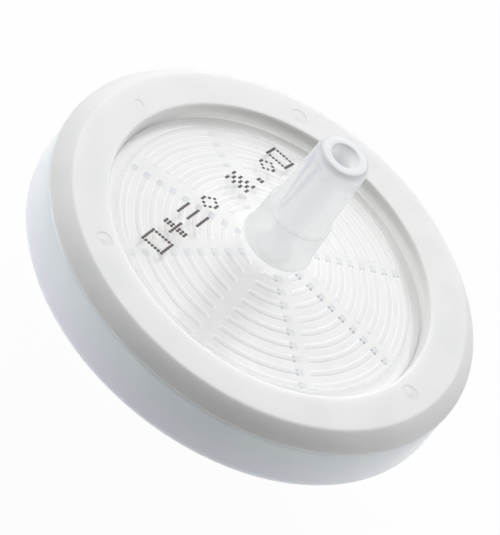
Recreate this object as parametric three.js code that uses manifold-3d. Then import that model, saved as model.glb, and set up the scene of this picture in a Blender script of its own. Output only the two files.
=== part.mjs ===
// A 33 mm syringe filter: two moulded housing halves hold a round membrane between them, and a
// ring moulded over their edges seals them. The liquid comes in through the female luer lock
// underneath and leaves through the male luer slip on top.
//
// Millimetres, +Z up. The origin is the centre of the inlet's mouth, on which the filter stands.
// Every piece is turned about Z.

import * as THREE from "three";
import { mergeVertices } from "three/addons/utils/BufferGeometryUtils.js";
import Module from "manifold-3d";

const wasm = await Module();
wasm.setup();

// ---- Driving dimensions -------------------------------------------------------------------

const DISC_RADIUS = 16.5; // the widest part of the disc
const INLET_LENGTH = 10.5; // the inlet's mouth to the underside of the disc
const DISC_THICKNESS = 5.5;
const SLIP_RISE = 10.35; // the outlet's tip above the disc
const SEGMENTS = 48; // flats round each turned surface
const ARC_STEPS = 2; // two chords per step round each small arc

const TOP = INLET_LENGTH + DISC_THICKNESS; // the flat top of the sealing ring

// Levels inside the disc, measured down from its top.
const FLANGE_LEVEL = TOP - 1.2; // top of the outlet shell's flange, under the ring
const CLAMP_LEVEL = TOP - 1.9; // membrane's upper face
const MEMBRANE_THICKNESS = 0.2;
const JOINT_LEVEL = TOP - 1.3; // where the ring meets the lower rim
const GROOVE_FLOOR = TOP - 3.2; // bottom of the groove that the ring fills
const CHAMBER_FLOOR = TOP - 2.6; // floor of the inlet chamber
const FLOOR_UNDERSIDE = TOP - 3.8; // underside of the inlet shell's floor

// Radii shared by the pieces.
const WINDOW_RADIUS = 12.5; // opening of the ring, round the window
const WINDOW_FOOT_RADIUS = 12.3; // the opening narrows to this at the window
const FLANGE_RADIUS = 14.4;
const GROOVE_RADIUS = 15.3;
const CHAMBER_RADIUS = 11.7; // the wetted area
const MEMBRANE_RADIUS = 12.65;
const POCKET_RADIUS = 12.75; // the pocket that centres the membrane
const FIT_GAP = 0.02; // between turned walls that face each other

// Outlet: hub, slip and bore. The slip has the 6 % luer taper.
const HUB_RADIUS = 2.44;
const HUB_FOOT_RADIUS = 2.56;
const HUB_RISE = 4.1; // the hub's step above the disc
const HUB_FOOT_RISE = 0.85; // where the window's cone meets the hub
const STEP_CHAMFER = 0.08;
const SLIP_TIP_RADIUS = 1.99;
const LUER_TAPER = 0.03; // radius gained per millimetre
const TIP_ROUNDING = 0.4;
const OUTLET_BORE_TIP_RADIUS = 1;
const OUTLET_BORE_FOOT_RADIUS = 0.9;

// Support ribs under the window, and the radial channels that cut them.
const RIB_COUNT = 9;
const FIRST_RIB_RADIUS = 2.68;
const RIB_PITCH = 1.02;
const RIB_WIDTH = 0.45;
const RIB_EMBED = 0.15; // how far a rib's root reaches into the window
const CHANNEL_COUNT = 8;
const CHANNEL_WIDTH = 1.02;
const WINDOW_INNER_RISE = 0.085; // slope of the window's underside
const WINDOW_INNER_RADIUS = 11; // where the underside has the level below
const WINDOW_INNER_LEVEL = TOP - 1.58;

// Inlet: a female luer lock.
const SOCKET_MOUTH_RADIUS = 2.15;
const SOCKET_DEPTH = 9;
const SOCKET_CHAMFER = 0.15;
const INLET_HUB_RADIUS = 3.35;
const INLET_HUB_FOOT_RADIUS = 3.65;
const INLET_BORE_RADIUS = 0.9;
const LUG_RADIUS = 3.9;
const LUG_HEIGHT = 1.3;
const LUG_WIDTH = 3.6;
const LUG_EMBED = 0.3; // how far a lug's root reaches into the hub
const INLET_FILLET = 0.6; // where the hub meets the disc

// The lower rim, and the hollow under the disc.
const RIM_RADIUS = 16.45;
const RIM_EDGE_ROUNDING = 1;
const RIM_TOP_ROUNDING = 0.2;
const UNDERSIDE_RADIUS = 13.3;
const UNDERSIDE_DRAFT = 0.3;

// The ring's section above the joint.
const BAND_RADIUS = 15.37; // outer edge of the flat top band
const CORNER_ROUNDING = 0.12;

// Witness marks of the mould in the ring's top band: three gates, and one ejector pin.
const MARK_CIRCLE_RADIUS = 13.75;
const GATE_MARK_RADIUS = 0.65;
const PIN_MARK_RADIUS = 0.36;
const MARK_DEPTH = 0.04;
const GATE_ANGLES = [108, 228, 348]; // degrees
const PIN_ANGLES = [166];
const MARK_SIDES = 16;

// ---- Shape helpers ------------------------------------------------------------------------

const rad = THREE.MathUtils.degToRad;

// A three.js geometry as a solid that can be cut and joined.
function toSolid(geometry) {
  const bare = geometry.clone();
  bare.deleteAttribute("normal");
  bare.deleteAttribute("uv");
  const merged = mergeVertices(bare);
  return new wasm.Manifold(
    new wasm.Mesh({
      numProp: 3,
      vertProperties: new Float32Array(merged.attributes.position.array),
      triVerts: new Uint32Array(merged.index.array),
    }),
  );
}

function toGeometry(solid) {
  const mesh = solid.getMesh();
  const geometry = new THREE.BufferGeometry();
  geometry.setAttribute("position", new THREE.BufferAttribute(mesh.vertProperties, 3));
  geometry.setIndex(new THREE.BufferAttribute(mesh.triVerts, 1));
  geometry.computeVertexNormals();
  return geometry;
}

// A solid turned about Z from a closed section: a path of (radius, height), anticlockwise.
function turned(section) {
  const outline = section.getPoints(ARC_STEPS);
  outline.push(outline[0].clone());
  const geometry = new THREE.LatheGeometry(outline, SEGMENTS);
  geometry.rotateX(Math.PI / 2);
  return toSolid(geometry);
}

// A plain ring of rectangular section.
function plainRing(innerRadius, outerRadius, low, high) {
  const section = new THREE.Path();
  section.moveTo(innerRadius, low);
  section.lineTo(outerRadius, low);
  section.lineTo(outerRadius, high);
  section.lineTo(innerRadius, high);
  return turned(section);
}

// The level of the window's sloping underside at a radius.
function undersideOfWindow(radius) {
  return WINDOW_INNER_LEVEL + WINDOW_INNER_RISE * (WINDOW_INNER_RADIUS - radius);
}

function named(name, solid, look) {
  const mesh = new THREE.Mesh(toGeometry(solid), new THREE.MeshStandardMaterial(look));
  mesh.name = name;
  return mesh;
}

const NATURAL_PLASTIC = { color: 0xdfe5ea, roughness: 0.3, metalness: 0 };
const WHITE_PLASTIC = { color: 0xf0f1f0, roughness: 0.4, metalness: 0 };
const WHITE_MEMBRANE = { color: 0xfafafa, roughness: 0.9, metalness: 0 };

// ---- Outlet shell -------------------------------------------------------------------------

// Window, hub and slip in one section, round the bore.
function outletBody() {
  const tip = TOP + SLIP_RISE;
  const step = TOP + HUB_RISE;
  const slipFootRadius = SLIP_TIP_RADIUS + LUER_TAPER * (tip - step);
  const foot = undersideOfWindow(OUTLET_BORE_FOOT_RADIUS);
  const section = new THREE.Path();
  section.moveTo(OUTLET_BORE_FOOT_RADIUS, foot);
  section.lineTo(CHAMBER_RADIUS, undersideOfWindow(CHAMBER_RADIUS));
  section.lineTo(CHAMBER_RADIUS, CLAMP_LEVEL);
  section.lineTo(FLANGE_RADIUS, CLAMP_LEVEL);
  section.lineTo(FLANGE_RADIUS, FLANGE_LEVEL);
  section.lineTo(WINDOW_FOOT_RADIUS, FLANGE_LEVEL);
  section.lineTo(HUB_FOOT_RADIUS, TOP + HUB_FOOT_RISE);
  section.lineTo(HUB_RADIUS, step - STEP_CHAMFER);
  section.lineTo(HUB_RADIUS - STEP_CHAMFER, step);
  section.lineTo(slipFootRadius, step);
  section.lineTo(SLIP_TIP_RADIUS, tip - TIP_ROUNDING);
  section.absarc(SLIP_TIP_RADIUS - TIP_ROUNDING, tip - TIP_ROUNDING, TIP_ROUNDING, 0, rad(90));
  section.lineTo(OUTLET_BORE_TIP_RADIUS, tip);
  return turned(section);
}

// Concentric support ribs, cut through by straight radial channels.
function supportRibs() {
  const ribs = [];
  for (let i = 0; i < RIB_COUNT; i += 1) {
    const middle = FIRST_RIB_RADIUS + i * RIB_PITCH;
    const inner = middle - RIB_WIDTH / 2;
    const root = undersideOfWindow(inner) + RIB_EMBED;
    ribs.push(plainRing(inner, middle + RIB_WIDTH / 2, CLAMP_LEVEL, root));
  }
  const channels = [];
  for (let i = 0; i < CHANNEL_COUNT / 2; i += 1) {
    const channel = new THREE.BoxGeometry(2 * CHAMBER_RADIUS, CHANNEL_WIDTH, DISC_THICKNESS);
    channel.rotateZ((i * 2 * Math.PI) / CHANNEL_COUNT);
    channel.translate(0, 0, CLAMP_LEVEL);
    channels.push(toSolid(channel));
  }
  return wasm.Manifold.union(ribs).subtract(wasm.Manifold.union(channels));
}

// ---- Sealing ring -------------------------------------------------------------------------

// A cap over the flange, with a tongue that fills the groove in the lower shell.
function ringBody() {
  const r = CORNER_ROUNDING;
  const section = new THREE.Path();
  section.moveTo(WINDOW_FOOT_RADIUS, FLANGE_LEVEL);
  section.lineTo(FLANGE_RADIUS + FIT_GAP, FLANGE_LEVEL);
  section.lineTo(FLANGE_RADIUS + FIT_GAP, GROOVE_FLOOR);
  section.lineTo(GROOVE_RADIUS - FIT_GAP, GROOVE_FLOOR);
  section.lineTo(GROOVE_RADIUS - FIT_GAP, JOINT_LEVEL);
  section.lineTo(DISC_RADIUS - r, JOINT_LEVEL);
  section.absarc(DISC_RADIUS - r, JOINT_LEVEL + r, r, rad(-90), rad(0));
  section.absarc(BAND_RADIUS - r, TOP - r, r, rad(45), rad(90));
  section.absarc(WINDOW_RADIUS + r, TOP - r, r, rad(90), rad(180));
  return turned(section);
}

// A shallow round dimple in the top band.
function dimple(radius, degrees) {
  const geometry = new THREE.CylinderGeometry(radius, radius, 2 * MARK_DEPTH, MARK_SIDES);
  geometry.rotateX(Math.PI / 2);
  geometry.translate(MARK_CIRCLE_RADIUS, 0, TOP);
  geometry.rotateZ(rad(degrees));
  return toSolid(geometry);
}

function mouldMarks() {
  const gates = GATE_ANGLES.map((degrees) => dimple(GATE_MARK_RADIUS, degrees));
  const pins = PIN_ANGLES.map((degrees) => dimple(PIN_MARK_RADIUS, degrees));
  return wasm.Manifold.union([...gates, ...pins]);
}

// ---- Membrane -----------------------------------------------------------------------------

function membraneBody() {
  const geometry = new THREE.CylinderGeometry(
    MEMBRANE_RADIUS,
    MEMBRANE_RADIUS,
    MEMBRANE_THICKNESS,
    SEGMENTS,
  );
  geometry.rotateX(Math.PI / 2);
  geometry.translate(0, 0, CLAMP_LEVEL - MEMBRANE_THICKNESS / 2);
  return toSolid(geometry);
}

// ---- Inlet shell --------------------------------------------------------------------------

// Rim, clamping land, chamber floor and luer hub in one section, round the socket.
function inletBody() {
  const land = CLAMP_LEVEL - MEMBRANE_THICKNESS;
  const socketEndRadius = SOCKET_MOUTH_RADIUS - LUER_TAPER * SOCKET_DEPTH;
  const edgeCentre = RIM_RADIUS - RIM_EDGE_ROUNDING;
  const shoulder = RIM_RADIUS - RIM_TOP_ROUNDING;
  const filletCentre = FLOOR_UNDERSIDE - INLET_FILLET;
  const section = new THREE.Path();
  section.moveTo(SOCKET_MOUTH_RADIUS + SOCKET_CHAMFER, 0);
  section.lineTo(INLET_HUB_RADIUS, 0);
  section.lineTo(INLET_HUB_FOOT_RADIUS, filletCentre);
  section.absarc(INLET_HUB_FOOT_RADIUS + INLET_FILLET, filletCentre, INLET_FILLET, rad(180), rad(90), true);
  section.lineTo(UNDERSIDE_RADIUS - UNDERSIDE_DRAFT, FLOOR_UNDERSIDE);
  section.lineTo(UNDERSIDE_RADIUS, INLET_LENGTH);
  section.lineTo(edgeCentre, INLET_LENGTH);
  section.absarc(edgeCentre, INLET_LENGTH + RIM_EDGE_ROUNDING, RIM_EDGE_ROUNDING, rad(-90), 0);
  section.absarc(shoulder, JOINT_LEVEL - RIM_TOP_ROUNDING, RIM_TOP_ROUNDING, 0, rad(90));
  section.lineTo(GROOVE_RADIUS, JOINT_LEVEL);
  section.lineTo(GROOVE_RADIUS, GROOVE_FLOOR);
  section.lineTo(FLANGE_RADIUS, GROOVE_FLOOR);
  section.lineTo(FLANGE_RADIUS, CLAMP_LEVEL);
  section.lineTo(POCKET_RADIUS, CLAMP_LEVEL);
  section.lineTo(POCKET_RADIUS, land);
  section.lineTo(CHAMBER_RADIUS, land);
  section.lineTo(CHAMBER_RADIUS, CHAMBER_FLOOR);
  section.lineTo(INLET_BORE_RADIUS, CHAMBER_FLOOR);
  section.lineTo(INLET_BORE_RADIUS, SOCKET_DEPTH);
  section.lineTo(socketEndRadius, SOCKET_DEPTH);
  section.lineTo(SOCKET_MOUTH_RADIUS, SOCKET_CHAMFER);
  return turned(section);
}

// Two lugs at the mouth, opposite each other, which screw into a syringe's luer lock.
function luerLugs() {
  const collar = plainRing(INLET_HUB_RADIUS - LUG_EMBED, LUG_RADIUS, 0, LUG_HEIGHT);
  const across = new THREE.BoxGeometry(2 * LUG_RADIUS, LUG_WIDTH, 2 * LUG_HEIGHT);
  return collar.intersect(toSolid(across));
}

// ---- The filter ---------------------------------------------------------------------------

const filter = new THREE.Group();
filter.add(
  named("inlet_shell", inletBody().add(luerLugs()), NATURAL_PLASTIC),
  named("filter_membrane", membraneBody(), WHITE_MEMBRANE),
  named("outlet_shell", outletBody().add(supportRibs()), NATURAL_PLASTIC),
  named("sealing_ring", ringBody().subtract(mouldMarks()), WHITE_PLASTIC),
);

export default filter;
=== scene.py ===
import math

import bmesh
import bpy
from mathutils import Matrix, Vector


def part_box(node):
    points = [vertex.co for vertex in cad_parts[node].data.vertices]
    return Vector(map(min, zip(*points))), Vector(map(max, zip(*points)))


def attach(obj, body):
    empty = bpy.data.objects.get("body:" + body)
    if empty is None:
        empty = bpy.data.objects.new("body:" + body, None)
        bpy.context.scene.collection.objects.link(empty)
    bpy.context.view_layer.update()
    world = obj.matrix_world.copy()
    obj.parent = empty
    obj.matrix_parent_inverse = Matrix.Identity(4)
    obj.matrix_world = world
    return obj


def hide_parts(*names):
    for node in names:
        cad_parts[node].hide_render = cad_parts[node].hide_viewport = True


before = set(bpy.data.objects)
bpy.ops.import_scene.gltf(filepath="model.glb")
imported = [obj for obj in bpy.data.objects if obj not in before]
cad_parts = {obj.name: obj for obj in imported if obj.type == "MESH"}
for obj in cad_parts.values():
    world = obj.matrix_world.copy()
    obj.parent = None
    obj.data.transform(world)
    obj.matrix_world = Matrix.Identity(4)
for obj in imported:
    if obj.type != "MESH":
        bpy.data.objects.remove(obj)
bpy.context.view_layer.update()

# ---- Stage ----------------------------------------------------------------------------------
# A long lens looks down on the filter, tipped to one side. The filter stands on a white table
# under soft daylight from all round, a broad soft lamp behind it and weaker ones low at its sides.

MM = 0.001
RING_LOW, RING_HIGH = (Vector(corner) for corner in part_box("sealing_ring"))
RING_TOP = RING_HIGH.z / MM  # everything in the disc is measured down from here

VIEW_DISTANCE = 0.5
VIEW_ELEVATION = math.radians(39.85)
VIEW_ROLL = math.radians(38.5)
VIEW_WIDTH = 0.034128  # what the frame spans at the disc
AIM_RIGHT, AIM_UP = -0.0015, -0.0013  # the aim, off the centre of the disc's top
SENSOR_WIDTH = 36

flat_right = Vector((1, 0, 0))
flat_up = Vector((0, math.sin(VIEW_ELEVATION), math.cos(VIEW_ELEVATION)))
ahead = Vector((0, math.cos(VIEW_ELEVATION), -math.sin(VIEW_ELEVATION)))
view_right = flat_right * math.cos(VIEW_ROLL) + flat_up * math.sin(VIEW_ROLL)
view_up = flat_up * math.cos(VIEW_ROLL) - flat_right * math.sin(VIEW_ROLL)
aim = Vector((0, 0, RING_HIGH.z)) + view_right * AIM_RIGHT + view_up * AIM_UP

lens = bpy.data.cameras.new("lens")
lens.sensor_fit = "HORIZONTAL"
lens.sensor_width = SENSOR_WIDTH
lens.lens = SENSOR_WIDTH * VIEW_DISTANCE / VIEW_WIDTH
lens.clip_start, lens.clip_end = 0.01, 10
camera = bpy.data.objects.new("camera", lens)
turn = Matrix((view_right, view_up, -ahead)).transposed().to_4x4()
camera.matrix_world = Matrix.Translation(aim - ahead * VIEW_DISTANCE) @ turn
bpy.context.scene.collection.objects.link(camera)
bpy.context.scene.camera = camera
bpy.context.scene.view_settings.view_transform = "Standard"

LAMP_DISTANCE = 0.6


def add_lamp(name, azimuth, elevation, size, watts):
    """A round soft lamp, aimed at the disc."""
    azimuth, elevation = math.radians(azimuth), math.radians(elevation)
    flat = math.cos(elevation)
    way = Vector((flat * math.cos(azimuth), flat * math.sin(azimuth), math.sin(elevation)))
    light = bpy.data.lights.new(name, "AREA")
    light.shape = "DISK"
    light.size = size
    light.energy = watts
    lamp = bpy.data.objects.new(name, light)
    place = Vector((0, 0, RING_HIGH.z)) + way * LAMP_DISTANCE
    lamp.matrix_world = Matrix.Translation(place) @ way.to_track_quat("Z", "Y").to_matrix().to_4x4()
    bpy.context.scene.collection.objects.link(lamp)


add_lamp("window lamp", azimuth=99, elevation=47, size=0.55, watts=2.8)
add_lamp("left lamp", azimuth=184, elevation=4, size=0.4, watts=1.95)
add_lamp("right lamp", azimuth=18, elevation=10, size=0.4, watts=0.65)


class Value:
    """A value in a material. Sums and products of values add Math nodes."""

    def __init__(self, finish, socket):
        self.finish, self.socket = finish, socket

    def out(self, name):
        return Value(self.finish, self.socket.node.outputs[name])

    def math(self, operation, *others):
        return self.finish.node("ShaderNodeMath", {"operation": operation}, [self, *others])

    def __add__(self, other):
        return self.math("ADD", other)

    def __radd__(self, other):
        return self.math("ADD", other)

    def __sub__(self, other):
        return self.math("SUBTRACT", other)

    def __rsub__(self, other):
        return self.finish.node("ShaderNodeMath", {"operation": "SUBTRACT"}, [other, self])

    def __mul__(self, other):
        return self.math("MULTIPLY", other)

    def __truediv__(self, other):
        return self.math("DIVIDE", other)

    def between(self, low, high):
        """0 below low, 1 above high, smooth between."""
        sockets = {"Value": self, "From Min": low, "From Max": high}
        return self.finish.node("ShaderNodeMapRange", {"interpolation_type": "SMOOTHSTEP"}, sockets)


class Finish:
    """A material being built. node() adds a node, sets it, and feeds its sockets."""

    def __init__(self, tree):
        self.tree = tree
        tree.nodes.clear()

    def node(self, kind, settings=None, sockets=None):
        made = self.tree.nodes.new(kind)
        for name, setting in (settings or {}).items():
            setattr(made, name, setting)
        named = sockets.items() if isinstance(sockets, dict) else enumerate(sockets or [])
        for name, value in named:
            if isinstance(value, Value):
                self.tree.links.new(value.socket, made.inputs[name])
            else:
                made.inputs[name].default_value = value
        return Value(self, made.outputs[0]) if made.outputs else None

    def coordinates(self):
        """The shaded point: its place in metres, then x, y and z in millimetres."""
        place = self.node("ShaderNodeTexCoord").out("Object")
        axes = self.node("ShaderNodeSeparateXYZ", {}, [place])
        return place, *(axes.out(name) * (1 / MM) for name in "XYZ")

    def noise(self, place, scale, detail):
        return self.node("ShaderNodeTexNoise", {}, {"Vector": place, "Scale": scale, "Detail": detail})

    def blend(self, share, first, second):
        """One colour passing into another."""
        made = self.node("ShaderNodeMix", {"data_type": "RGBA"}, {"Factor": share, 6: first, 7: second})
        return Value(self, made.socket.node.outputs[2])

    def seen_directly(self):
        """1 for what the camera sees, also by reflection or through glass. 0 for light."""
        rays = self.node("ShaderNodeLightPath")
        seen = rays.out("Is Camera Ray").math("MAXIMUM", rays.out("Is Glossy Ray"))
        return seen.math("MAXIMUM", rays.out("Is Transmission Ray"))

    def surface(self, shader):
        self.node("ShaderNodeOutputMaterial", {}, {"Surface": shader})


def pick(share, first, second):
    """One value passing into another."""
    return first + share * (second - first)


def new_finish(name):
    material = bpy.data.materials.new(name)
    material.use_nodes = True
    return material, Finish(material.node_tree)


WHITE = (1, 1, 1, 1)
DAYLIGHT = 0.21  # as light. To the eye the room is plain white.
white_room = bpy.data.worlds.new("white room")
white_room.use_nodes = True
sky = Finish(white_room.node_tree)
strength = DAYLIGHT + sky.seen_directly() * (1 - DAYLIGHT)
background = sky.node("ShaderNodeBackground", {}, {"Color": WHITE, "Strength": strength})
sky.node("ShaderNodeOutputWorld", {}, {"Surface": background})
bpy.context.scene.world = white_room

TABLE_HALF = 1.5
TABLE_WHITE = (0.96, 0.96, 0.965, 1)
TABLE_GLOW = 0.95  # share of the table's look that no shadow reaches
table_mesh = bpy.data.meshes.new("table")
bm = bmesh.new()
bmesh.ops.create_grid(bm, x_segments=2, y_segments=2, size=TABLE_HALF)
bm.to_mesh(table_mesh)
bm.free()
table = bpy.data.objects.new("table", table_mesh)
bpy.context.scene.collection.objects.link(table)
material, paper = new_finish("white table")
matt = paper.node("ShaderNodeBsdfDiffuse", {}, {"Color": TABLE_WHITE})
glow = paper.node("ShaderNodeEmission", {}, {"Color": WHITE, "Strength": 1})
share = paper.seen_directly() * TABLE_GLOW
paper.surface(paper.node("ShaderNodeMixShader", {}, [share, matt, glow]))
table_mesh.materials.append(material)

# ---- Sealing ring ---------------------------------------------------------------------------
# A white ring moulded over the edges of both housing halves. Its top band is flat and satin, with
# the sunk round marks of the mould's gates and pins, and a 45 degree cone falls away outside it.

TURN_STEPS = 256
ROUND_STEPS = 4
SMOOTH_BELOW = math.radians(35)

RING_RADIUS = RING_HIGH.x / MM
JOINT_DROP = 1.3
FLANGE_DROP = 1.2
TONGUE_DROP = (RING_HIGH.z - RING_LOW.z) / MM
BAND_RADIUS = 15.37
OPENING_RADIUS = 12.5
OPENING_FOOT_RADIUS = 12.3
TONGUE_INNER, TONGUE_OUTER = 14.42, 15.28
EDGE_ROUNDING, CONE_ROUNDING = 0.12, 0.05
BAND_MARGIN = 0.25  # a narrow flat on each side of the band keeps the rounded corners to themselves

MARK_CIRCLE_RADIUS = 13.75
GATE_ANGLES, PIN_ANGLES = (108, 228, 348), (166,)
GATE_RADIUS, GATE_STUB_RADIUS = 0.65, 0.3
PIN_RADIUS = 0.36
MARK_SIDES = 40
MARK_WALL, MARK_DEPTH = 0.05, 0.04


def turned(section, angle=2 * math.pi, steps=TURN_STEPS, closed=True):
    """A section of (radius, height, corner rounding) in millimetres, spun about Z."""
    bm = bmesh.new()
    corners = [bm.verts.new((radius, 0, height)) for radius, height, _ in section]
    for first, second in zip(corners, corners[1:]):
        bm.edges.new((first, second))
    if closed:
        bm.edges.new((corners[-1], corners[0]))
    for corner, (_, _, rounding) in zip(corners, section):
        if rounding:
            bmesh.ops.bevel(
                bm,
                geom=[corner, *corner.link_edges],
                offset=rounding,
                offset_type="OFFSET",
                segments=ROUND_STEPS,
                profile=0.5,
                affect="VERTICES",
                material=-1,
            )
    whole = math.isclose(angle, 2 * math.pi)
    bmesh.ops.spin(
        bm,
        geom=bm.verts[:] + bm.edges[:],
        axis=(0, 0, 1),
        angle=angle,
        steps=steps,
        use_merge=whole,
    )
    bmesh.ops.remove_doubles(bm, verts=bm.verts, dist=1e-5)
    bmesh.ops.recalc_face_normals(bm, faces=bm.faces)
    return bm


def cut_flat(bm, point, outward):
    """Cuts away what lies beyond a plane and closes the cut."""
    cut = bmesh.ops.bisect_plane(
        bm,
        geom=bm.verts[:] + bm.edges[:] + bm.faces[:],
        plane_co=point,
        plane_no=outward,
        clear_outer=True,
    )
    edges = [g for g in cut["geom_cut"] if isinstance(g, bmesh.types.BMEdge)]
    bmesh.ops.edgeloop_fill(bm, edges=edges)


def repeat_round(bm, count):
    """Copies of everything in the bmesh, evenly round the Z axis."""
    bmesh.ops.spin(
        bm,
        geom=bm.verts[:] + bm.edges[:] + bm.faces[:],
        axis=(0, 0, 1),
        angle=2 * math.pi * (count - 1) / count,
        steps=count - 1,
        use_duplicate=True,
    )


def join(bm, part):
    """Adds a part's mesh to the bmesh and frees the part."""
    mesh = bpy.data.meshes.new("part")
    part.to_mesh(mesh)
    part.free()
    bm.from_mesh(mesh)
    bpy.data.meshes.remove(mesh)


def finished(bm, name, material):
    """The bmesh, in millimetres, as an object in metres that rides with the filter."""
    bmesh.ops.scale(bm, vec=(MM, MM, MM), verts=bm.verts)
    for face in bm.faces:
        face.smooth = True
    for edge in bm.edges:
        edge.smooth = len(edge.link_faces) != 2 or edge.calc_face_angle(0) < SMOOTH_BELOW
    mesh = bpy.data.meshes.new(name)
    bm.to_mesh(mesh)
    bm.free()
    mesh.materials.append(material)
    piece = bpy.data.objects.new(name, mesh)
    bpy.context.scene.collection.objects.link(piece)
    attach(piece, "root")
    return piece


joint = RING_TOP - JOINT_DROP
flange = RING_TOP - FLANGE_DROP
bm = turned(
    [
        (OPENING_RADIUS + BAND_MARGIN, RING_TOP, 0),
        (OPENING_RADIUS, RING_TOP, EDGE_ROUNDING),
        (OPENING_FOOT_RADIUS, flange, 0),
        (TONGUE_INNER, flange, 0),
        (TONGUE_INNER, RING_TOP - TONGUE_DROP, 0),
        (TONGUE_OUTER, RING_TOP - TONGUE_DROP, 0),
        (TONGUE_OUTER, joint, 0),
        (RING_RADIUS, joint, EDGE_ROUNDING),
        (RING_RADIUS, RING_TOP - (RING_RADIUS - BAND_RADIUS), CONE_ROUNDING),
        (BAND_RADIUS, RING_TOP, EDGE_ROUNDING),
        (BAND_RADIUS - BAND_MARGIN, RING_TOP, 0),
    ],
    closed=False,
)
band_edges = [edge for edge in bm.edges if edge.is_boundary]
mark_rims = []
for radius, angles in ((GATE_RADIUS, GATE_ANGLES), (PIN_RADIUS, PIN_ANGLES)):
    for degrees in angles:
        turn = Matrix.Rotation(math.radians(degrees), 4, "Z")
        place = turn @ Matrix.Translation((MARK_CIRCLE_RADIUS, 0, RING_TOP))
        made = bmesh.ops.create_circle(bm, segments=MARK_SIDES, radius=radius, matrix=place)
        mark_rims.append((radius, made["verts"]))
rim_edges = [list({edge for vert in rim for edge in vert.link_edges}) for _, rim in mark_rims]
bmesh.ops.triangle_fill(
    bm, edges=band_edges + [edge for edges in rim_edges for edge in edges], normal=(0, 0, 1)
)
for (radius, _), edges in zip(mark_rims, rim_edges):
    floor = bmesh.ops.edgeloop_fill(bm, edges=edges)["faces"]
    bmesh.ops.inset_region(bm, faces=floor, thickness=MARK_WALL, depth=-MARK_DEPTH)
    if radius == GATE_RADIUS:
        bmesh.ops.inset_region(bm, faces=floor, thickness=GATE_RADIUS - MARK_WALL - GATE_STUB_RADIUS)
        bmesh.ops.inset_region(bm, faces=floor, thickness=MARK_WALL, depth=MARK_DEPTH / 2)
bmesh.ops.recalc_face_normals(bm, faces=bm.faces)

RING_WHITE = (0.86, 0.865, 0.86, 1)
RING_CLOUD = (0.835, 0.845, 0.84, 1)
# Painted shade and light for the recess wall: a darker top, a whiter foot and an emitted glow.
WALL_TOP_PAINTED_SHADE = (0.76, 0.755, 0.74, 1)
WALL_FOOT_PAINTED_LIGHT = (1, 0.995, 0.985, 1)
NO_GLOW = (0, 0, 0, 1)
WALL_PAINTED_GLOW = (0.17, 0.17, 0.165, 1)
WALL_ZONE = (OPENING_RADIUS + 0.05, OPENING_RADIUS + 0.2)
LOW_ZONE = (0.2, FLANGE_DROP + 0.1)
FAR_SHADE_ZONE = (0.2, 0.95)  # shares of the radius toward the far side
FAR_GLOW_ZONE = (0.1, 0.7)
CLOUD_ZONE = (0.4, 0.65)
material, white = new_finish("white moulded plastic")
place, x, y, z = white.coordinates()
cloud = white.noise(place, scale=260, detail=4)
grain = white.noise(place, scale=9000, detail=3)
bump = white.node("ShaderNodeBump", {}, {"Height": grain, "Strength": 0.06, "Distance": 0.02 * MM})

# Painted shade and painted glow on the recess wall, for light coming through the ring low down:
# its far side is painted darker at the top and whiter at the foot, and glows there by emission.
wall = 1 - (x * x + y * y).math("SQRT").between(*WALL_ZONE)
low = (RING_TOP - z).between(*LOW_ZONE)
far = y / OPENING_RADIUS
wall_painted_shade = white.blend(far.between(*FAR_SHADE_ZONE) * (1 - low), WALL_FOOT_PAINTED_LIGHT, WALL_TOP_PAINTED_SHADE)
wall_painted_glow = wall * low * far.between(*FAR_GLOW_ZONE)
tint = white.blend(cloud.between(*CLOUD_ZONE), RING_WHITE, RING_CLOUD)
shell = white.node(
    "ShaderNodeBsdfPrincipled",
    {},
    {
        "Base Color": white.blend(wall, tint, wall_painted_shade),
        "Emission Color": white.blend(wall_painted_glow, NO_GLOW, WALL_PAINTED_GLOW),
        "Emission Strength": 1,
        "Roughness": 0.4 + cloud * 0.08,
        "Subsurface Weight": 1,
        "Subsurface Radius": (1, 1, 1),
        "Subsurface Scale": 0.0009,
        "Normal": bump,
    },
)
white.surface(shell)
ring = finished(bm, "white_ring", material)
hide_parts("sealing_ring")

# ---- Membrane -------------------------------------------------------------------------------
# A thin round sheet of matt white membrane with a faint felted face. The halves clamp its edge.

MEMBRANE_LOW, MEMBRANE_HIGH = (Vector(corner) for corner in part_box("filter_membrane"))
MEMBRANE_WHITE = (0.96, 0.96, 0.955, 1)
MEMBRANE_SHADE = (0.93, 0.93, 0.925, 1)
FIBRE_ZONE = (0.35, 0.6)
material, felt = new_finish("membrane")
place, *_ = felt.coordinates()
fibres = felt.noise(place, scale=6000, detail=6)
bump = felt.node("ShaderNodeBump", {}, {"Height": fibres, "Strength": 0.2, "Distance": 0.03 * MM})
shell = felt.node(
    "ShaderNodeBsdfPrincipled",
    {},
    {
        "Base Color": felt.blend(fibres.between(*FIBRE_ZONE), MEMBRANE_SHADE, MEMBRANE_WHITE),
        "Roughness": 0.9,
        "Normal": bump,
    },
)
felt.surface(shell)
radius = MEMBRANE_HIGH.x / MM
bm = turned(
    [
        (0, MEMBRANE_LOW.z / MM, 0),
        (radius, MEMBRANE_LOW.z / MM, 0),
        (radius, MEMBRANE_HIGH.z / MM, 0),
        (0, MEMBRANE_HIGH.z / MM, 0),
    ],
    closed=False,
)
membrane = finished(bm, "membrane", material)
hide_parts("filter_membrane")

# ---- Outlet shell ---------------------------------------------------------------------------
# The upper housing half, one moulding in natural polypropylene: a shallow cone as a window, a hub
# and the male luer slip. Concentric ribs, cut by eight radial channels, hang underneath. The
# plastic bends the light, so the underside and its ribs are drawn as shallow as they appear.

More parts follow.
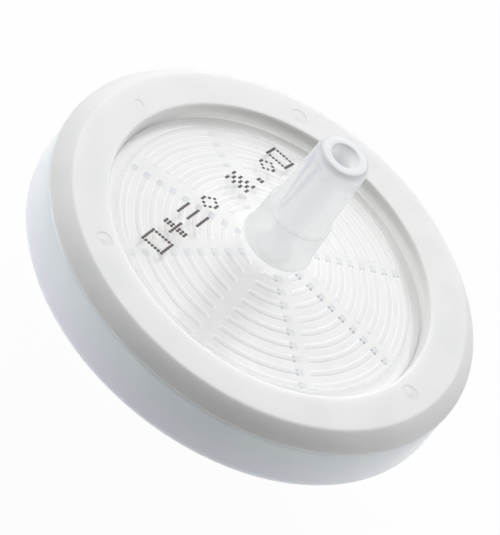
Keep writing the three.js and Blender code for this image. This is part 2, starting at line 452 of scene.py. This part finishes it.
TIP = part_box("outlet_shell")[1][2] / MM
SHELL_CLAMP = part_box("outlet_shell")[0][2] / MM
CHAMBER_RADIUS = 11.7
FLANGE_RADIUS = 14.4
HUB_FOOT_RADIUS, HUB_FOOT_RISE = 2.56, 0.85
HUB_RADIUS, HUB_RISE = 2.44, 4.1
SLIP_TIP_RADIUS, LUER_TAPER = 1.99, 0.03
TIP_ROUNDING, BORE_EDGE_ROUNDING = 0.4, 0.14
HUB_FOOT_ROUNDING, STEP_ROUNDING, STEP_FILLET = 0.25, 0.08, 0.04
UNDERSIDE_ROUNDING, CORNER_ROUNDING = 0.3, 0.1
BORE_TIP_RADIUS, BORE_FOOT_RADIUS = 1, 0.9
UNDERSIDE_RADIUS, UNDERSIDE_DROP, UNDERSIDE_SLOPE = 11, 1.25, 0.15
EDGE_FOOT_RADIUS, EDGE_RADIUS, EDGE_SKIN = 10.95, 11.4, 0.06
LAND_DROP = 1.5
RIB_FOOT_DROP, RIB_FOOT_SLOPE = 1.41, 0.105
RIB_RELIEF = 0.03
RIB_COUNT, FIRST_RIB_RADIUS, RIB_PITCH, RIB_WIDTH = 9, 2.68, 1.02, 0.45
RIB_ROUNDING = 0.1
CHANNEL_COUNT, CHANNEL_WIDTH = 8, 1.02
ARC_STEPS = 28


def underside(radius):
    return RING_TOP - UNDERSIDE_DROP + UNDERSIDE_SLOPE * (UNDERSIDE_RADIUS - radius)


def window_top(radius):
    return flange + window_slope * (OPENING_FOOT_RADIUS - radius)


def rib_foot(radius):
    return RING_TOP - RIB_FOOT_DROP + RIB_FOOT_SLOPE * (UNDERSIDE_RADIUS - radius)


step = RING_TOP + HUB_RISE
window_slope = (HUB_FOOT_RISE + FLANGE_DROP) / (OPENING_FOOT_RADIUS - HUB_FOOT_RADIUS)
bm = turned(
    [
        (BORE_FOOT_RADIUS, underside(BORE_FOOT_RADIUS), CORNER_ROUNDING),
        (EDGE_FOOT_RADIUS, underside(EDGE_FOOT_RADIUS), UNDERSIDE_ROUNDING),
        (EDGE_RADIUS, window_top(EDGE_RADIUS) - EDGE_SKIN, CORNER_ROUNDING),
        (CHAMBER_RADIUS, RING_TOP - LAND_DROP, 0),
        (FLANGE_RADIUS, RING_TOP - LAND_DROP, 0),
        (FLANGE_RADIUS, flange, 0),
        (OPENING_FOOT_RADIUS, flange, 0),
        (HUB_FOOT_RADIUS, RING_TOP + HUB_FOOT_RISE, HUB_FOOT_ROUNDING),
        (HUB_RADIUS, step, STEP_ROUNDING),
        (SLIP_TIP_RADIUS + LUER_TAPER * (TIP - step), step, STEP_FILLET),
        (SLIP_TIP_RADIUS, TIP, TIP_ROUNDING),
        (BORE_TIP_RADIUS, TIP, BORE_EDGE_ROUNDING),
    ]
)
channel = 2 * math.pi / CHANNEL_COUNT
ribs = bmesh.new()
for i in range(RIB_COUNT):
    middle = FIRST_RIB_RADIUS + i * RIB_PITCH
    inner, outer = middle - RIB_WIDTH / 2, middle + RIB_WIDTH / 2
    arc = turned(
        [
            (inner, rib_foot(inner), RIB_ROUNDING),
            (outer, rib_foot(outer), RIB_ROUNDING),
            (outer, underside(outer) + RIB_RELIEF, RIB_ROUNDING),
            (inner, underside(inner) + RIB_RELIEF, RIB_ROUNDING),
        ],
        channel,
        ARC_STEPS,
    )
    for angle, side in ((0, -1), (channel, 1)):
        off_side = Vector((-math.sin(angle), math.cos(angle), 0)) * side
        cut_flat(arc, -off_side * CHANNEL_WIDTH / 2, off_side)
    bmesh.ops.recalc_face_normals(arc, faces=arc.faces)
    join(ribs, arc)
repeat_round(ribs, CHANNEL_COUNT)
join(bm, ribs)

NATURAL = (0.95, 0.955, 0.965, 1)
HUB_TINT = (0.72, 0.728, 0.732, 1)
SLIP_WARM = (0.88, 0.885, 0.855, 1)
SLIP_COOL = (0.8, 0.812, 0.83, 1)
LIP_TINT = (0.88, 0.9, 0.93, 1)
FACE_TINT = (0.8, 0.825, 0.85, 1)
BORE_PAINTED_SHADE = (0.68, 0.695, 0.715, 1)
MOUTH_DEEP_SHADE = (0.74, 0.76, 0.785, 1)
EDGE_PAINTED_SHADE = (0.77, 0.78, 0.77, 1)
CREASE_PAINTED_GLOW = (0.1, 0.1, 0.098, 1)
RIBBED_WHITE = (0.825, 0.83, 0.82, 1)
RIBBED_SHADE = (0.76, 0.77, 0.76, 1)
RIB_CORE = (0.79, 0.8, 0.79, 1)
NEAR_CORE_SHADE = (0.77, 0.78, 0.775, 1)
RIB_LINE_HIGHLIGHT = (1, 1, 0.985, 1)
RIB_END_SHADE = (0.63, 0.655, 0.69, 1)
RIB_DOT_SHADE = (0.33, 0.35, 0.4, 1)
STREAK_PAINTED_SHADE = (0.46, 0.5, 0.63, 1)
THROUGH_TINT = (0.75, 0.757, 0.77, 1)

# How milky each zone is: the share of the light that the plastic stops.
SKIN_MILK, UNDER_MILK, EDGE_MILK = 0.05, 0.95, 0.95
HUB_MILK, SLIP_MILK, BORE_MILK, LIP_MILK = 0.6, 0.5, 0.5, 0.9
THROUGH = 0.5  # share of the stopped light that comes out on the other side
FLATTENED = 0.75  # how much of the underside's relief is not shaded

# Where the zones begin and end, in millimetres. These first ones go by the distance from the axis.
BORE_ZONE = (BORE_TIP_RADIUS + 0.02, BORE_TIP_RADIUS + 0.1)
HUB_CORE_ZONE = (BORE_TIP_RADIUS + 0.2, BORE_TIP_RADIUS + 0.4)
FIRST_RIB_ZONE, LAST_RIB_ZONE = (2.3, 2.4), (11.2, 11.3)
EDGE_ZONE = (EDGE_RADIUS - 0.2, EDGE_RADIUS)
EDGE_FOOT_ZONE = (EDGE_FOOT_RADIUS - 0.1, EDGE_RADIUS)
CREASE_ZONE = (EDGE_RADIUS, OPENING_FOOT_RADIUS)
# By the depth under the window's top, by the rise above the ring, and by the height over the tip.
UNDER_ZONE = (0.02, 0.04)
HUB_ZONE = (HUB_FOOT_RISE - 0.05, HUB_FOOT_RISE + 0.1)
SLIP_ZONE = (HUB_RISE - 0.1, HUB_RISE + 0.1)
MOUTH_ZONE, MOUTH_LIGHT_ZONE = (-2.9, -2.1), (-1.8, -0.6)
LIP_ZONE = (-1.2, -0.1)
FACE_ZONE = (-0.12, -0.02)
# By y: the far half of the bore and the near half of the slip.
FAR_HALF_ZONE, NEAR_HALF_ZONE = (-0.5, 0.1), (-0.5, 0)
# By the share of the radius that lies toward the far or the near side.
FAR_EDGE_ZONE, NEAR_RIB_ZONE = (0.6, 0.95), (0.2, 0.9)

# The ribs as seen through the window, painted on the underside: a painted highlight along each outline,
# a grey square of painted shade at the end, two dark dots of painted shade.
LINE_ZONE, CORE_ZONE = (0.02, 0.09), (-0.04, 0.02)
LINE_STRENGTH, END_STRENGTH = 0.7, 0.8
RIBBED_CLOUD_ZONE, RIBBED_CLOUD_STRENGTH = (0.4, 0.7), 0.6
END_CENTRE, END_SHIFT_X, END_SHIFT_Y = 0.22, 0.67, 0.15
END_LENGTH_ZONE, END_WIDTH_ZONE = (0.3, 0.36), (0.22, 0.28)
END_TURN_ZONE, DOT_TURN_ZONE = (0.2, 0.95), (0.4, 1)  # the rows toward X show most
DOT_OFF_LENGTH, DOT_OFF_WIDTH, DOT_ZONE = 0.2, 0.16, (0.065, 0.13)

# The wedge of streaks up the slip: its foot, how far each side leans, and the lines in it.
STREAK_X, STREAK_HALF_FOOT, STREAK_LEAN_LEFT, STREAK_LEAN_RIGHT = -1.33, 0.15, 0.5, 0.75
STREAK_SOFT_ZONE = (0, 0.15)
STREAK_LINES, STREAK_MEAN, STREAK_SWING, STREAK_MILK = 11, 0.6, 0.4, 0.7
COOL_ZONE = (0.1, 0.7)  # shares of the way up the slip

material, milky = new_finish("natural polypropylene")
place, x, y, z = milky.coordinates()
radius = (x * x + y * y).math("SQRT")
angle = y.math("ARCTAN2", x)

# The ribs: how far a point is outside the outline of the nearest one, whose ends are round.
off_rib = (radius - (FIRST_RIB_RADIUS - RIB_PITCH / 2)).math("FLOORED_MODULO", RIB_PITCH)
off_rib = (off_rib - RIB_PITCH / 2).math("ABSOLUTE")
off_channel = (angle + channel / 2).math("FLOORED_MODULO", channel) - channel / 2
beside = radius * off_channel.math("SINE")
half_rib = RIB_WIDTH / 2
past_end = (CHANNEL_WIDTH / 2 + half_rib - beside.math("ABSOLUTE")).math("MAXIMUM", 0)
outside = (past_end * past_end + off_rib * off_rib).math("SQRT") - half_rib
ribbed = radius.between(*FIRST_RIB_ZONE) * (1 - radius.between(*LAST_RIB_ZONE))
rib_outline_highlight = ribbed * (1 - outside.math("ABSOLUTE").between(*LINE_ZONE))
in_rib = ribbed * (1 - outside.between(*CORE_ZONE))

# Painted shade: the end walls of the ribs show as grey squares in the channels, some with dark corners.
way = angle - off_channel
toward_x, toward_y = way.math("COSINE"), way.math("SINE")
off_end = beside - END_CENTRE + toward_x * END_SHIFT_X - toward_y * END_SHIFT_Y
rib_end_shade = 1 - off_end.math("ABSOLUTE").between(*END_LENGTH_ZONE)
rib_end_shade = rib_end_shade * (1 - off_rib.between(*END_WIDTH_ZONE))
rib_end_shade = ribbed * rib_end_shade * toward_x.math("ABSOLUTE").between(*END_TURN_ZONE)
dot_along = (off_end + DOT_OFF_LENGTH).math("ABSOLUTE")
dot_across = (off_rib - DOT_OFF_WIDTH).math("ABSOLUTE")
rib_dot_shade = (dot_along * dot_along + dot_across * dot_across).math("SQRT")
rib_dot_shade = ribbed * toward_x.between(*DOT_TURN_ZONE) * (1 - rib_dot_shade.between(*DOT_ZONE))

# The zones: each is 1 inside, 0 outside and soft at its border.
depth = flange - z + (OPENING_FOOT_RADIUS - radius) * window_slope
rise = z - RING_TOP
over_tip = z - TIP
far = y / radius
hub = rise.between(*HUB_ZONE).math("MAXIMUM", 1 - radius.between(*HUB_CORE_ZONE))
under = depth.between(*UNDER_ZONE) * (1 - hub)
edge = radius.between(*EDGE_ZONE) * (1 - under)
face = over_tip.between(*FACE_ZONE)
bore = hub * (1 - radius.between(*BORE_ZONE)) * (1 - face)
slip = rise.between(*SLIP_ZONE)
lip = over_tip.between(*LIP_ZONE)
mouth = bore * over_tip.between(*MOUTH_ZONE) * y.between(*FAR_HALF_ZONE)

# Painted light and shade: a wedge of bluish streaks up the near side of the slip from its foot, where
# the plastic bends the light.
up_slip = (rise - HUB_RISE) / (TIP - RING_TOP - HUB_RISE)
left = x - STREAK_X + STREAK_HALF_FOOT + up_slip * STREAK_LEAN_LEFT
right = up_slip * STREAK_LEAN_RIGHT + STREAK_X + STREAK_HALF_FOOT - x
painted_streak = slip * left.between(*STREAK_SOFT_ZONE) * right.between(*STREAK_SOFT_ZONE)
painted_streak = painted_streak * (1 - bore) * (1 - lip) * (1 - y.between(*NEAR_HALF_ZONE))
lines = (left / (left + right) * STREAK_LINES).math("SINE")
painted_streak = painted_streak * (STREAK_MEAN + lines * STREAK_SWING)

# The colour of the underside, then of the tube, then of the whole moulding.
cloud = milky.noise(place, scale=700, detail=4)
# Painted shade: the rib cores are painted greyer toward the near side.
rib_core_with_near_shade = milky.blend((far * -1).between(*NEAR_RIB_ZONE), RIB_CORE, NEAR_CORE_SHADE)
# Painted shade and light at the window's edge by the ring: grey toward the near side, painted white on
# the far side against the ring's shadow.
edge_painted_shade_and_light = milky.blend(far.between(*FAR_EDGE_ZONE), EDGE_PAINTED_SHADE, WHITE)
spots = cloud.between(*RIBBED_CLOUD_ZONE) * RIBBED_CLOUD_STRENGTH
pattern = milky.blend(spots, RIBBED_WHITE, RIBBED_SHADE)
pattern = milky.blend(in_rib, pattern, rib_core_with_near_shade)
pattern = milky.blend(rib_outline_highlight * LINE_STRENGTH, pattern, RIB_LINE_HIGHLIGHT)
pattern = milky.blend(rib_end_shade * END_STRENGTH, pattern, RIB_END_SHADE)
pattern = milky.blend(rib_dot_shade, pattern, RIB_DOT_SHADE)
pattern = milky.blend(radius.between(*EDGE_FOOT_ZONE), pattern, edge_painted_shade_and_light)
tube = milky.blend(up_slip.between(*COOL_ZONE), SLIP_WARM, SLIP_COOL)
tube = milky.blend(lip, tube, LIP_TINT)
tube = milky.blend(face, tube, FACE_TINT)
tube = milky.blend(slip, HUB_TINT, tube)
tube = milky.blend(painted_streak, tube, STREAK_PAINTED_SHADE)
# Painted shade in the bore: grey all down it, and in the far half of the mouth painted from darker deep
# down to white near the tip.
mouth_shade = milky.blend(over_tip.between(*MOUTH_LIGHT_ZONE), MOUTH_DEEP_SHADE, WHITE)
tube = milky.blend(bore, tube, milky.blend(mouth, BORE_PAINTED_SHADE, mouth_shade))
tint = milky.blend(hub, NATURAL, tube)
tint = milky.blend(edge, tint, edge_painted_shade_and_light)
tint = milky.blend(under, tint, pattern)

tube_milk = pick(bore, pick(slip, HUB_MILK, SLIP_MILK), BORE_MILK)
milkier = lip.math("MAXIMUM", mouth).math("MAXIMUM", painted_streak * STREAK_MILK)
tube_milk = pick(milkier, tube_milk, LIP_MILK)
window_milk = pick(edge, pick(under, SKIN_MILK, UNDER_MILK), EDGE_MILK)
milk = pick(hub, window_milk, tube_milk)

# A painted glow (emission) at the far edge of the window, by the crease, for the light that comes
# through the ring.
crease_painted_glow = edge * radius.between(*CREASE_ZONE) * far.between(*FAR_GLOW_ZONE)

# The flat white membrane lights the underside evenly, so its relief is hardly shaded.
height = (RING_TOP - z) * under * (FLATTENED * MM)
level = milky.node("ShaderNodeBump", {}, {"Height": height, "Strength": 1, "Distance": 1})
skin = milky.node(
    "ShaderNodeBsdfPrincipled",
    {},
    {
        "Base Color": tint,
        "Roughness": 0.18 + cloud * 0.1,
        "IOR": 1.49,
        "Emission Color": milky.blend(crease_painted_glow, NO_GLOW, CREASE_PAINTED_GLOW),
        "Emission Strength": 1,
        "Normal": level,
    },
)
inside = milky.node("ShaderNodeBsdfTranslucent", {}, {"Color": THROUGH_TINT})
solid = under.math("MAXIMUM", edge).math("MAXIMUM", face).math("MAXIMUM", mouth)
body = milky.node("ShaderNodeMixShader", {}, [(1 - solid) * THROUGH, skin, inside])
clear = milky.node("ShaderNodeBsdfTransparent", {}, {"Color": WHITE})
milky.surface(milky.node("ShaderNodeMixShader", {}, [milk, clear, body]))
outlet = finished(bm, "outlet_shell_moulding", material)
outlet.visible_shadow = False  # the clear plastic throws hardly any shadow
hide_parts("outlet_shell")

# ---- Print ----------------------------------------------------------------------------------
# A row of marks jetted onto the window in dark ink, each mark a grid of round dots. The ink lies on
# the plastic and has no thickness to speak of.

PRINT_START = Vector((-7.43, -6.82))  # top left corner of the first mark
PRINT_DIRECTION = math.radians(79.2)
MARK_ADVANCE = 1.95
DOT_COLUMNS, DOT_ROWS = 6, 7
DOT_PITCH_ALONG, DOT_PITCH_DOWN = 0.23, 0.28
DOT_RADIUS, DOT_TOP_RADIUS, DOT_HEIGHT, DOT_SIDES = 0.125, 0.1125, 0.02, 10
FIRST_DOT = 0.4  # pitches in from the mark's corner
PRINTED_ROW = ("box", "plus", "bars", "diamond", None, "chequer", "stop", "diamond", "box")
PRINTED_MARKS = {
    "box": lambda column, row: column in (0, DOT_COLUMNS - 1) or row in (0, DOT_ROWS - 1),
    "plus": lambda column, row: column in (2, 3) or row == 3,
    "bars": lambda column, row: row % 3 == 0,
    "diamond": lambda column, row: abs(column - 2.5) + abs(row - 3) == 2.5,
    "chequer": lambda column, row: (column // 2 + row) % 2 == 0,
    "stop": lambda column, row: column in (1, 2) and row in (5, 6),
}
along = Vector((math.cos(PRINT_DIRECTION), math.sin(PRINT_DIRECTION)))
down = Vector((along.y, -along.x))
lean = math.atan(window_slope)
bm = bmesh.new()
for i, mark in enumerate(PRINTED_ROW):
    for column in range(DOT_COLUMNS):
        for row in range(DOT_ROWS):
            if mark is None or not PRINTED_MARKS[mark](column, row):
                continue
            right = i * MARK_ADVANCE + (column + FIRST_DOT) * DOT_PITCH_ALONG
            spot = PRINT_START + along * right + down * (row + FIRST_DOT) * DOT_PITCH_DOWN
            level = window_top(spot.length) + DOT_HEIGHT / 4
            turn = Matrix.Rotation(math.atan2(spot.y, spot.x), 4, "Z")
            place = Matrix.Translation((spot.x, spot.y, level)) @ turn @ Matrix.Rotation(lean, 4, "Y")
            bmesh.ops.create_cone(
                bm,
                cap_ends=True,
                segments=DOT_SIDES,
                radius1=DOT_RADIUS,
                radius2=DOT_TOP_RADIUS,
                depth=DOT_HEIGHT,
                matrix=place,
            )
INK_BLACK = (0.012, 0.01, 0.012, 1)
INK_BROWN = (0.05, 0.02, 0.024, 1)
THIN_PATCHES, THICK_ZONE, THINNEST = 4, (0, 6), 0.8  # the ink gets thicker toward the far side
material, ink = new_finish("printed ink")
place, _, y, _ = ink.coordinates()
patches = ink.noise(place, scale=1500, detail=2)
thin = (1 - (y + patches * THIN_PATCHES).between(*THICK_ZONE)) * THINNEST
shell = ink.node(
    "ShaderNodeBsdfPrincipled",
    {},
    {"Base Color": ink.blend(thin, INK_BLACK, INK_BROWN), "Roughness": 0.5},
)
ink.surface(shell)
print_marks = finished(bm, "printed_marks", material)
print_marks.visible_shadow = False  # the membrane's glow from below fills the ink's shadow

# ---- Inlet shell ----------------------------------------------------------------------------
# The lower housing half, one moulding in the same plastic, thicker and so milkier: the lower rim
# of the disc, the chamber floor and the female luer lock with its two lugs.

RIM_RADIUS, RIM_EDGE_ROUNDING, RIM_TOP_ROUNDING = 16.45, 1, 0.2
DISC_THICKNESS = 5.5
GROOVE_RADIUS = 15.3
POCKET_RADIUS = 12.75
MEMBRANE_THICKNESS = 0.2
FLOOR_DROP, FLOOR_UNDERSIDE_DROP = 2.6, 3.8
HOLLOW_RADIUS, HOLLOW_DRAFT, HOLLOW_FILLET, HOLLOW_ROUNDING = 13.3, 0.3, 0.3, 0.15
SOCKET_RADIUS, SOCKET_DEPTH, SOCKET_CHAMFER = 2.15, 9, 0.15
INLET_HUB_RADIUS, INLET_HUB_FOOT_RADIUS, INLET_FILLET = 3.35, 3.65, 0.6
LUG_RADIUS, LUG_ROOT_RADIUS, LUG_HEIGHT, LUG_HALF_WIDTH = 3.9, 3.1, 1.3, 1.8
LUG_COUNT = 2
LUG_SPARE_TURN = 0.1  # radians, cut off again by the flat ends

disc_underside = RING_TOP - DISC_THICKNESS
floor_underside = RING_TOP - FLOOR_UNDERSIDE_DROP
bm = turned(
    [
        (SOCKET_RADIUS + SOCKET_CHAMFER, 0, 0),
        (INLET_HUB_RADIUS, 0, CORNER_ROUNDING),
        (INLET_HUB_FOOT_RADIUS, floor_underside, INLET_FILLET),
        (HOLLOW_RADIUS - HOLLOW_DRAFT, floor_underside, HOLLOW_FILLET),
        (HOLLOW_RADIUS, disc_underside, HOLLOW_ROUNDING),
        (RIM_RADIUS, disc_underside, RIM_EDGE_ROUNDING),
        (RIM_RADIUS, joint, RIM_TOP_ROUNDING),
        (GROOVE_RADIUS, joint, 0),
        (GROOVE_RADIUS, RING_TOP - TONGUE_DROP, 0),
        (FLANGE_RADIUS, RING_TOP - TONGUE_DROP, 0),
        (FLANGE_RADIUS, SHELL_CLAMP, 0),
        (POCKET_RADIUS, SHELL_CLAMP, 0),
        (POCKET_RADIUS, SHELL_CLAMP - MEMBRANE_THICKNESS, 0),
        (CHAMBER_RADIUS, SHELL_CLAMP - MEMBRANE_THICKNESS, 0),
        (CHAMBER_RADIUS, RING_TOP - FLOOR_DROP, 0),
        (BORE_FOOT_RADIUS, RING_TOP - FLOOR_DROP, CORNER_ROUNDING),
        (BORE_FOOT_RADIUS, SOCKET_DEPTH, 0),
        (SOCKET_RADIUS - LUER_TAPER * SOCKET_DEPTH, SOCKET_DEPTH, CORNER_ROUNDING),
        (SOCKET_RADIUS, SOCKET_CHAMFER, 0),
    ]
)
lug_turn = 2 * (math.asin(LUG_HALF_WIDTH / LUG_ROOT_RADIUS) + LUG_SPARE_TURN)
lug = turned(
    [
        (LUG_ROOT_RADIUS, 0, 0),
        (LUG_RADIUS, 0, CORNER_ROUNDING),
        (LUG_RADIUS, LUG_HEIGHT, CORNER_ROUNDING),
        (LUG_ROOT_RADIUS, LUG_HEIGHT, 0),
    ],
    lug_turn,
    ARC_STEPS,
)
bmesh.ops.rotate(lug, verts=lug.verts, matrix=Matrix.Rotation(-lug_turn / 2, 3, "Z"))
for side in (1, -1):
    cut_flat(lug, (0, side * LUG_HALF_WIDTH, 0), (0, side, 0))
bmesh.ops.recalc_face_normals(lug, faces=lug.faces)
repeat_round(lug, LUG_COUNT)
join(bm, lug)

RIM_TINT = (0.885, 0.96, 1, 1)
RIM_LOW_TINT = (0.88, 0.915, 1, 1)
RIM_CLOUD = (0.84, 0.89, 0.98, 1)
RIM_LOW_ZONE = (0.5, 3)  # below the joint
RIM_CLOUD_STRENGTH = 0.5
material, rim = new_finish("thick natural polypropylene")
place, _, _, z = rim.coordinates()
cloud = rim.noise(place, scale=220, detail=4)
grain = rim.noise(place, scale=5000, detail=2)
bump = rim.node("ShaderNodeBump", {}, {"Height": grain, "Strength": 0.04, "Distance": 0.02 * MM})
tint = rim.blend((joint - z).between(*RIM_LOW_ZONE), RIM_TINT, RIM_LOW_TINT)
shell = rim.node(
    "ShaderNodeBsdfPrincipled",
    {},
    {
        "Base Color": rim.blend(cloud.between(*CLOUD_ZONE) * RIM_CLOUD_STRENGTH, tint, RIM_CLOUD),
        "Roughness": 0.28 + cloud * 0.08,
        "IOR": 1.49,
        "Coat Weight": 0.5,
        "Subsurface Weight": 0.2,
        "Subsurface Radius": (1, 1, 1),
        "Subsurface Scale": 0.001,
        "Normal": bump,
    },
)
rim.surface(shell)
inlet = finished(bm, "inlet_shell_moulding", material)
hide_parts("inlet_shell")
